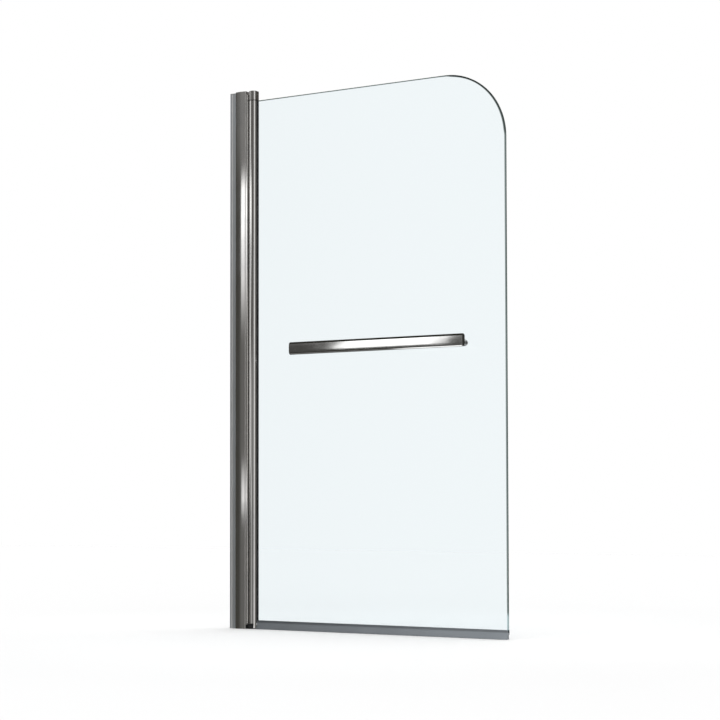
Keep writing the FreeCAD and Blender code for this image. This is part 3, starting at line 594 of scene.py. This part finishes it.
def glass_finish():
    """Clear in the sheet, dark on the cut edge, and darker along the rim; the darker corner is painted shade,
    the paler foot painted light, and a brighter stretch of the top cut a painted reflection.
    """
    material, net = finish("safety_glass")
    side = along(net, "X").above(*SIDE_FROM_TO)
    foot = 1 - along(net, "Z").above(*FOOT_FROM_TO)
    inside, corner = rim_of_sheet(net, side)
    top, beside, round_corner, below, clear = tinted(net, TOP_RIM, SIDE_RIM, CORNER_RIM_PAINTED_SHADE, FOOT_RIM_PAINTED_LIGHT, CLEAR_TINT)
    rim = net.mixed(foot, net.mixed(corner, net.mixed(side, top, beside), round_corner), below)
    dark, bright, upright, lowest = tinted(net, TOP_CUT, CUT_PAINTED_REFLECTION, SIDE_CUT, FOOT_CUT_PAINTED_LIGHT)
    top_cut = net.mixed(along(net, "X").between(*PAINTED_REFLECTION_SPAN), dark, bright)
    cut = net.mixed(side, top_cut, net.mixed(foot, upright, lowest))
    facing = net.node("ShaderNodeTexCoord", output="Normal")
    across = net.node("ShaderNodeSeparateXYZ", None, {0: facing}, "Y")
    through = net.mixed(1 - abs(across).above(*FACE_FROM_TO), net.mixed(inside, rim, clear), cut)
    roughness = GLASS_ROUGHNESS + spots(net, WIPED_SCALE, WIPED_DETAIL, WIPED_STRETCH) * WIPED_MORE
    mirror = net.node("ShaderNodeBsdfGlossy", None, {"Color": PAPER_WHITE, "Roughness": roughness})
    share = net.node("ShaderNodeFresnel", None, {"IOR": GLASS_IOR}) * MIRRORED_SHARE
    net.show("ShaderNodeOutputMaterial", net.mixed(share, through, mirror))
    return material


safety_glass = glass_finish()
print("finish", safety_glass.name)

# %% [markdown]
# ## Plastics and rubber
# The seal, washers, bushes and gaskets are moulded or extruded. None of them is one flat colour: PVC turns
# cloudy in places, black plastic takes a polish where it is rubbed, and rubber carries a fine bloom.

# %% Plastic
CLOUD_SCALE, CLOUD_DETAIL, CLOUD_FROM_TO = 14.0, 3.0, (0.42, 0.62)


def plastic(name, colour, clouded, polish, clouded_polish, grain, grain_depth):
    """Moulded plastic: a colour that clouds in patches, and a fine grain of that depth in metres."""
    material, net = finish(name)
    cloud = spots(net, CLOUD_SCALE, CLOUD_DETAIL).above(*CLOUD_FROM_TO)
    pitted = relief(net, spots(net, grain), grain_depth)
    cover_with(net, net.blend(cloud, colour, clouded), polish + cloud * (clouded_polish - polish), pitted)
    return material


print("helper: a moulded plastic")

# %% Black plastic, rubber and the clear sleeves
black_plastic = plastic(
    "black_plastic", colour=(0.012, 0.012, 0.013, 1.0), clouded=(0.018, 0.018, 0.019, 1.0),
    polish=0.22, clouded_polish=0.34, grain=1600.0, grain_depth=6e-6
)
dress(black_plastic, "channel_bottom_plug", "bottom_pivot_bracket", "top_pivot_bush", "bottom_pivot_bush")
black_rubber = plastic(
    "black_rubber", colour=(0.042, 0.042, 0.042, 1.0), clouded=(0.056, 0.056, 0.056, 1.0),
    polish=0.5, clouded_polish=0.66, grain=2500.0, grain_depth=1e-5
)
dress(black_rubber, "trough_strip", "setting_blocks", "rail_washers_front", "rail_washers_back")
clear_pvc = plastic(
    "clear_pvc", colour=(0.55, 0.58, 0.58, 1.0), clouded=(0.62, 0.65, 0.65, 1.0),
    polish=0.18, clouded_polish=0.3, grain=900.0, grain_depth=4e-6
)
dress(clear_pvc, "rail_glass_sleeves")

# %% [markdown]
# ## The seal's plastic
# The drip seal is extruded in two plastics at once: the arms that grip the glass are darker and firmer, and
# the vanes below are softer and paler. Away from the dark uprights the colour of both is also made a little
# paler from the wall to the free edge, which is painted light. Two blends on the height and the length of a
# point make that.

# %% Seal plastic
ARM_FOOT = (0.0155, 0.0175)
ARM_NEAR_WALL, ARM_FREE_END_PAINTED_LIGHT = (0.054, 0.060, 0.066, 1.0), (0.135, 0.148, 0.160, 1.0)
VANE_NEAR_WALL, VANE_FREE_END_PAINTED_LIGHT = (0.102, 0.113, 0.123, 1.0), (0.225, 0.247, 0.268, 1.0)
# Both plastics are painted paler towards the free end: painted light.
PAINTED_LIGHT_FROM_TO = (-0.1, 1.0)
DRAWN_LINES, DRAWN_DEPTH = (2.0, 900.0, 900.0), 5e-6
SEAL_TONE, CLOUDED_TONE_MORE = 0.9, 0.2
SEAL_ROUGHNESS, CLOUDED_ROUGHER = 0.26, 0.16


def seal_finish():
    """Dark arms over paler vanes, both painted paler towards the free edge as painted light, with faint lines
    from the die.
    """
    material, net = finish("two_part_pvc")
    length = along(net, "X").above(*PAINTED_LIGHT_FROM_TO)
    arms = net.blend(length, ARM_NEAR_WALL, ARM_FREE_END_PAINTED_LIGHT)
    vanes = net.blend(length, VANE_NEAR_WALL, VANE_FREE_END_PAINTED_LIGHT)
    cloud = spots(net, CLOUD_SCALE, CLOUD_DETAIL)
    drawn = relief(net, spots(net, 1.0, stretch=DRAWN_LINES), DRAWN_DEPTH)
    both = net.blend(along(net, "Z").above(*ARM_FOOT), vanes, arms)
    colour = net.scaled(both, SEAL_TONE + cloud * CLOUDED_TONE_MORE)
    cover_with(net, colour, SEAL_ROUGHNESS + cloud * CLOUDED_ROUGHER, drawn)
    return material


seal_plastic = seal_finish()
print("finish", seal_plastic.name)

# %% [markdown]
# ## New surfaces from grids of points
# Some pieces are soft or finely turned, and look better than the plain solids: lips, vanes, domes and screw
# heads. Each could be pulled into shape by hand, but a formula keeps the real sizes and can be read again.
# So a shape is a grid of points, worked out at once with numpy, and one function makes any such grid a
# closed mesh.

# %% From grids to a closed mesh
import bmesh

MERGE = 1e-6
SHARP = math.radians(38.0)


def smoothed(mesh):
    """The mesh shaded smooth, with a crease wherever two faces meet at more than SHARP."""
    mesh.polygons.foreach_set("use_smooth", [True] * len(mesh.polygons))
    mesh.set_sharp_from_angle(angle=SHARP)
    return mesh


def skin(name, grids):
    """One mesh over grids of points. The columns of each run round, and its first and last rows close it."""
    points, faces, first = [], [], 0
    for grid in grids:
        rows, columns = grid.shape[:2]
        number = first + np.arange(rows * columns).reshape(rows, columns)
        beside = np.roll(number, -1, axis=1)
        faces += np.stack([number[:-1], beside[:-1], beside[1:], number[1:]], axis=-1).reshape(-1, 4).tolist()
        faces += [number[end].tolist() for end in (0, -1) if np.ptp(grid[end], axis=0).max() > MERGE]
        points.append(grid.reshape(-1, 3))
        first += rows * columns
    mesh = bpy.data.meshes.new(name)
    mesh.from_pydata(np.concatenate(points).tolist(), [], faces)
    work = bmesh.new()
    work.from_mesh(mesh)
    bmesh.ops.remove_doubles(work, verts=work.verts, dist=MERGE)
    bmesh.ops.recalc_face_normals(work, faces=work.faces)
    work.to_mesh(mesh)
    work.free()
    piece = bpy.data.objects.new(name, smoothed(mesh))
    bpy.context.scene.collection.objects.link(piece)
    print(name, len(mesh.polygons), "faces")
    return piece


print("helper: skin, from grids to a closed mesh")

# %% In the place of a solid
def middle(node):
    """The middle of a solid's box in X and Z."""
    low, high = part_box(node)
    return (low.x + high.x) / 2, (low.z + high.z) / 2


def fit(piece, material, slot, body, *nodes):
    """Puts a new piece in the place of those solids, in its finish, on the body that carries it."""
    piece.data.materials.append(material)
    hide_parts(*nodes)
    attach(piece, body)


print("helpers: the middle of a solid, and fitting a piece in its place")

# %% Rounded outlines
ROUND_STEPS = 4
SHORT_SIDE_SHARE = 0.45


def rounded(points, radius, closed=True):
    """An outline whose corners are rounded by quadratic curves.

    A curve begins and ends at the distance radius from the corner, or less where a side is short, and the
    corner is its middle control point: (1 - t)^2 start + 2 t (1 - t) corner + t^2 end.
    """
    corner = np.array(points, float)
    back = np.roll(corner, 1, axis=0) - corner
    ahead = np.roll(corner, -1, axis=0) - corner
    back_length = np.linalg.norm(back, axis=1, keepdims=True)
    ahead_length = np.linalg.norm(ahead, axis=1, keepdims=True)
    cut = np.minimum(radius, SHORT_SIDE_SHARE * np.minimum(back_length, ahead_length))
    start = (corner + back / back_length * cut)[:, None]
    end = (corner + ahead / ahead_length * cut)[:, None]
    t = np.linspace(0, 1, ROUND_STEPS + 1)[None, :, None]
    curves = (1 - t) ** 2 * start + 2 * t * (1 - t) * corner[:, None] + t ** 2 * end
    if closed:
        return curves.reshape(-1, 2)
    return np.concatenate([corner[:1], curves[1:-1].reshape(-1, 2), corner[-1:]])


print("helper: rounded outlines")

# %% Carried and turned shapes
TURNS = 72


def carried(section, axis, stations):
    """A closed section, in the two other axes, repeated at each station along an axis."""
    across = np.broadcast_to(section, (len(stations), *section.shape))
    place = np.broadcast_to(stations[:, None, None], (len(stations), len(section), 1))
    return np.concatenate([across[..., :axis], place, across[..., axis:]], axis=-1)


def turned(profile, x, z, turns=TURNS):
    """A profile of radii r and places y, turned about a line along Y: (x + r cos a, y, z + r sin a)."""
    angle = np.linspace(0, 2 * math.pi, turns, endpoint=False)[None]
    radius, y = profile.T[..., None]
    return np.stack([x + radius * np.cos(angle), y + 0 * angle, z + radius * np.sin(angle)], axis=-1)


print("helpers: carried and turned shapes")

# %% [markdown]
# ## The drip seal
# The seal is one long extrusion: two arms clip over the edge of the glass, and below them hang a front
# skirt, a thin wiping blade and a vane that throws the drips back into the bath. Soft plastic is never
# quite straight, so the section is carried along the glass with its vanes drawn in a little, by an uneven
# slow wave.

# %% Section of the drip seal
MM = 0.001
SEAL_LOW, SEAL_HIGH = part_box("bottom_seal")
SEAL_ARM_OUT, SEAL_ARM_IN = 4.45 * MM, 3.05 * MM
SEAL_WEB_FOOT, SEAL_WEB_TOP = 12.85 * MM, 14.95 * MM
SEAL_VANE = 1.2 * MM
BLADE_LEAN, BLADE_FOOT = 1.0 * MM, 0.4 * MM
DEFLECTOR_FOOT = 3.2 * MM
SEAL_ROUND = 0.5 * MM


def seal_section():
    """Outline across the seal in Y and Z: down the front arm and skirt, round the blade, and up the back."""
    vane_root = SEAL_WEB_FOOT - SEAL_VANE
    half = SEAL_VANE / 2
    return rounded([
        (-SEAL_ARM_OUT, SEAL_HIGH.z),
        (-SEAL_ARM_OUT, SEAL_WEB_FOOT),
        (SEAL_LOW.y, SEAL_LOW.z),
        (SEAL_LOW.y + SEAL_VANE, SEAL_LOW.z),
        (SEAL_VANE - SEAL_ARM_OUT, vane_root),
        (-half, vane_root),
        (BLADE_LEAN - half, BLADE_FOOT),
        (BLADE_LEAN + half, BLADE_FOOT),
        (half, vane_root),
        (SEAL_ARM_OUT - SEAL_VANE, vane_root),
        (SEAL_HIGH.y - SEAL_VANE, DEFLECTOR_FOOT),
        (SEAL_HIGH.y, DEFLECTOR_FOOT),
        (SEAL_ARM_OUT, SEAL_WEB_FOOT),
        (SEAL_ARM_OUT, SEAL_HIGH.z),
        (SEAL_ARM_IN, SEAL_HIGH.z),
        (SEAL_ARM_IN, SEAL_WEB_TOP),
        (-SEAL_ARM_IN, SEAL_WEB_TOP),
        (-SEAL_ARM_IN, SEAL_HIGH.z),
    ], SEAL_ROUND)


print("section of the seal", len(seal_section()), "points")

# %% Drip seal
SEAL_STATIONS = 140
DRAWN_IN = 0.06
SHORT_WAVE, LONG_WAVE = 0.031, 0.088
TRIM_SLOPE, TRIM_LENGTH = 1.5, 0.03


def drip_seal():
    """The section along X, with each vane drawn towards the middle by y DRAWN_IN d^2 w.

    d is the depth below the web, 1 at the foot, and w = (1 + sin(x / SHORT_WAVE) cos(x / LONG_WAVE)) / 2.
    Over the last TRIM_LENGTH the back vane is cut shorter, by TRIM_SLOPE e^2 times how far it stands out past
    the arm, where e goes from 0 to 1 towards the end.
    """
    grid = carried(seal_section(), 0, np.linspace(SEAL_LOW.x, SEAL_HIGH.x, SEAL_STATIONS))
    x, y, z = np.moveaxis(grid, -1, 0)
    depth = np.clip(1 - z / SEAL_WEB_FOOT, 0, 1)
    wave = 0.5 + 0.5 * np.sin(x / SHORT_WAVE) * np.cos(x / LONG_WAVE)
    near_end = np.clip((x - SEAL_HIGH.x) / TRIM_LENGTH + 1, 0, 1)
    trimmed = x - near_end ** 2 * TRIM_SLOPE * np.clip(y - SEAL_ARM_OUT, 0, None)
    drawn = y * (1 - DRAWN_IN * depth ** 2 * wave)
    return skin("drip_seal", [np.stack([trimmed, drawn, z], axis=-1)])


fit(drip_seal(), seal_plastic, "grey_pvc", "swing_side", "bottom_seal")

# %% [markdown]
# ## The glazing gaskets
# A black rubber gasket is pushed in between the glass and each side of the slot in the column. A barb holds
# it, and a thin lip covers the edge of the slot and presses on the glass. The lip of a real one curls, so
# its section is drawn with a slope and soft corners, and is then carried up the glass.

# %% Gaskets
GLASS_FACE = 3.0 * MM
GASKET_LEG = 1.2 * MM
SLOT_MOUTH = 77.6 * MM
LIP_FOOT, LIP_TIP = 0.60 * MM, 0.30 * MM
LIP_REACH = 2.0 * MM
BARB_FROM, BARB_TO, BARB_OUT = 73.85 * MM, 75.35 * MM, 0.65 * MM
GASKET_ROUND = 0.25 * MM
GASKET_STATIONS = 24


def gasket(name, node, side):
    """The section of a gasket in X and Y, with side -1 for the front and 1 for the back, carried along Z."""
    low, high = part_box(node)
    slot_face = GLASS_FACE + GASKET_LEG
    section = rounded([
        (low.x, GLASS_FACE),
        (SLOT_MOUTH + LIP_FOOT, GLASS_FACE),
        (SLOT_MOUTH + LIP_TIP, GLASS_FACE + LIP_REACH),
        (SLOT_MOUTH, GLASS_FACE + LIP_REACH),
        (SLOT_MOUTH, slot_face),
        (BARB_TO, slot_face),
        (BARB_TO - GASKET_ROUND, slot_face + BARB_OUT),
        (BARB_FROM, slot_face + BARB_OUT),
        (BARB_FROM, slot_face),
        (low.x, slot_face),
    ], GASKET_ROUND) * (1, side)
    grid = carried(section, 2, np.linspace(low.z, high.z, GASKET_STATIONS))
    fit(skin(name, [grid]), black_rubber, "black_rubber", "swing_side", node)


gasket("front_gasket", "glazing_gasket_front", -1)
gasket("back_gasket", "glazing_gasket_back", 1)

# %% [markdown]
# ## The rail's turned fittings
# Two turned posts carry the rail off the glass, and a round nut behind the glass draws each one tight. On a
# lathe their edges are broken with a small curve, and that curve catches a thin line of light all round,
# which a hard corner never does. So each is a profile with rounded corners, turned about its own axis.

# %% Standoffs
STANDOFF_R, SPIGOT_R, THREAD_R = 10.0 * MM, 5.0 * MM, 4.05 * MM
RAIL_BACK = -38.0 * MM
THREAD_DEPTH = 16.0 * MM
EDGE_ROUND = 0.9 * MM


def standoff(name, node):
    """A turned post, from the tip of its spigot in the rail to the bottom of its threaded hole."""
    low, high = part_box(node)
    profile = rounded([
        (0, low.y),
        (SPIGOT_R, low.y),
        (SPIGOT_R, RAIL_BACK),
        (STANDOFF_R, RAIL_BACK),
        (STANDOFF_R, high.y),
        (THREAD_R, high.y),
        (THREAD_R, high.y - THREAD_DEPTH),
        (0, high.y - THREAD_DEPTH),
    ], EDGE_ROUND, closed=False)
    post = skin(name, [turned(profile, *middle(node))])
    fit(post, chrome_cast, "chrome_casting", "swing_side", node)
    CARDS["under_rail_card"].light_linking.receiver_collection.objects.link(post)


standoff("turned_standoff_left", "rail_standoff_left")
standoff("turned_standoff_right", "rail_standoff_right")

# %% Round nuts behind the glass
BUTTON_R = 8.0 * MM
BUTTON_CROWN = 1.1 * MM
BUTTON_HOLE = 5.5 * MM
BUTTONS_LOW, BUTTONS_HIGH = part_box("rail_back_buttons")
BUTTON_XS = (BUTTONS_LOW.x + BUTTON_R, BUTTONS_HIGH.x - BUTTON_R)
DOME_STEPS = 16


def dome(radius, top, rise):
    """Points from the rim of a dome to its middle: r = R cos a, y = top - rise (1 - sin a)."""
    turn = np.linspace(0, math.pi / 2, DOME_STEPS)
    points = np.stack([radius * np.cos(turn), top - rise * (1 - np.sin(turn))], axis=-1)
    points[-1, 0] = 0.0
    return points


def domed_nut(x):
    """A round nut with a blind threaded hole: out over the seat, up the rim, and over a low dome."""
    seat, top = BUTTONS_LOW.y, BUTTONS_HIGH.y
    hole = [(0, seat + BUTTON_HOLE), (THREAD_R, seat + BUTTON_HOLE), (THREAD_R, seat)]
    rim = [(BUTTON_R - EDGE_ROUND / 2, seat), (BUTTON_R, seat + EDGE_ROUND / 2)]
    profile = np.concatenate([hole, rim, dome(BUTTON_R, top, BUTTON_CROWN)])
    return turned(profile, x, middle("rail_back_buttons")[1])


nuts = skin("domed_nuts", [domed_nut(x) for x in BUTTON_XS])
fit(nuts, chrome_cast, "chrome_casting", "swing_side", "rail_back_buttons")

# %% [markdown]
# ## The glass sheet
# The sheet is cut, its corner is ground round, its edges are polished with a narrow arris, and the holes
# for the rail are drilled, all before it is toughened, because afterwards no tool can touch it. So it is
# made in the same order: an outline is carried across the thickness and drawn in at both faces, and then
# two drills, which are turned cylinders, are taken away with a Boolean that is applied at once. Smooth
# shading is set again after that, because a flat sheet must not be shaded across its edges.

# %% Glass sheet
ARRIS = 0.5 * MM
CORNER_STEPS = 72
DRILL_R = 5.55 * MM
DRILL_PAST = 2.0 * MM


def sheet_outline(inset):
    """The edge of the sheet in X and Z, moved in by inset: the foot, the round corner, then the wall end."""
    turn = np.linspace(0, math.pi / 2, CORNER_STEPS)
    arc = np.stack([np.cos(turn), np.sin(turn)], axis=-1) * (CORNER_R - inset)
    middle_of_corner = (GLASS_HIGH.x - CORNER_R, GLASS_HIGH.z - CORNER_R)
    foot = [(GLASS_LOW.x + inset, GLASS_LOW.z + inset), (GLASS_HIGH.x - inset, GLASS_LOW.z + inset)]
    return np.concatenate([foot, arc + middle_of_corner, [(GLASS_LOW.x + inset, GLASS_HIGH.z - inset)]])


def drilled(piece, drill):
    """The piece with the drill taken away from it, as a plain mesh."""
    cut = piece.modifiers.new("drill", "BOOLEAN")
    cut.object = drill
    cut.solver = "EXACT"
    ready = piece.evaluated_get(bpy.context.evaluated_depsgraph_get())
    mesh = bpy.data.meshes.new_from_object(ready)
    piece.modifiers.clear()
    piece.data = smoothed(mesh)
    bpy.data.objects.remove(drill)
    return piece


def glass_sheet():
    """The outline at four places across the thickness: the front face, two arrises and the back face."""
    half = GLASS_HIGH.y
    across = [(ARRIS, -half), (0.0, ARRIS - half), (0.0, half - ARRIS), (ARRIS, half)]
    rows = [np.insert(sheet_outline(inset), 1, y, axis=1) for inset, y in across]
    reach = half + DRILL_PAST
    bit = np.array([(DRILL_R, -reach), (DRILL_R, reach)])
    holes = [turned(bit, *middle(node)) for node in ("rail_standoff_left", "rail_standoff_right")]
    return drilled(skin("glass_sheet", [np.stack(rows)]), skin("drills", holes))


fit(glass_sheet(), safety_glass, "glass", "swing_side", "glass_panel")

# %% [markdown]
# ## Covers and screws on the back of the post
# Behind the post, three clamp screws set how far it slides over the channel, and a thin domed cap snaps
# over each. Two pan-head screws hold each pivot bracket. A cross recess in so small a head could be a bump,
# but a bump has no shadow and no depth from the side, so the head is a polar grid that is pushed in along a
# cross.

# %% Screw covers
COVER_R, COVER_WALL = 6.0 * MM, 0.8 * MM
COVER_DOME = 1.5 * MM
COVER_LOW, COVER_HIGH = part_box("screw_covers")
COVERS = 3
COVER_ZS = np.linspace(COVER_LOW.z + COVER_R, COVER_HIGH.z - COVER_R, COVERS)


def cover(z):
    """A cup with a wall of one thickness: up the inside from its middle, over the rim, and up the dome."""
    inside = dome(COVER_R - COVER_WALL, COVER_HIGH.y - COVER_WALL, COVER_DOME - COVER_WALL / 2)[::-1]
    rim = np.array([(COVER_R - COVER_WALL, COVER_LOW.y), (COVER_R, COVER_LOW.y)])
    profile = np.concatenate([inside, rim, dome(COVER_R, COVER_HIGH.y, COVER_DOME)])
    return turned(profile, middle("screw_covers")[0], z)


covers = skin("domed_screw_covers", [cover(z) for z in COVER_ZS])
fit(covers, chrome_cast, "chrome_casting", "pivot_side", "screw_covers")

# %% Cross-head screws
SCREW_TURNS = 96
CROWN_POWER = 2.5
SHANK_R, HEAD_R = 1.6 * MM, 2.88 * MM
HEAD_H, HEAD_DOME = 2.0 * MM, 0.9 * MM
CROSS_HALF, CROSS_REACH, CROSS_DEPTH = 0.34 * MM, 1.75 * MM, 1.1 * MM
CROSS_SLOPE = 0.12 * MM
HEAD_RINGS = 26


def cross_screw(x, z, tip, top):
    """A turned screw whose head is pushed in along a cross. Its crown falls by HEAD_DOME (r / R)^CROWN_POWER.

    With u and v across the head from its middle, the depth is full where the smaller of |u| and |v| is less
    than half the slot and the radius is within the cross, and it fades to 0 over the width CROSS_SLOPE.
    """
    seat = top - HEAD_H
    radius = np.linspace(HEAD_R, 0, HEAD_RINGS)
    crown = np.stack([radius, top - HEAD_DOME * (radius / HEAD_R) ** CROWN_POWER], axis=-1)
    shank = np.array([(0, tip), (SHANK_R, tip), (SHANK_R, seat), (HEAD_R, seat)])
    grid = turned(np.concatenate([shank, crown]), x, z, turns=SCREW_TURNS)
    head = grid[len(shank):]
    u, v = np.abs(head[..., 0] - x), np.abs(head[..., 2] - z)
    slot = np.clip((CROSS_HALF + CROSS_SLOPE - np.minimum(u, v)) / CROSS_SLOPE, 0, 1)
    within = np.clip((CROSS_REACH - np.hypot(u, v)) / CROSS_SLOPE, 0, 1)
    head[..., 1] -= CROSS_DEPTH * slot * within
    return grid


def bracket_screws(name, node):
    """The two screws of one pivot bracket, one above the other."""
    low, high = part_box(node)
    heights = (low.z + HEAD_R, high.z - HEAD_R)
    pair = skin(name, [cross_screw(middle(node)[0], z, low.y, high.y) for z in heights])
    fit(pair, steel, "steel", "pivot_side", node)


bracket_screws("cross_screws_top", "top_bracket_screws")
bracket_screws("cross_screws_bottom", "bottom_bracket_screws")
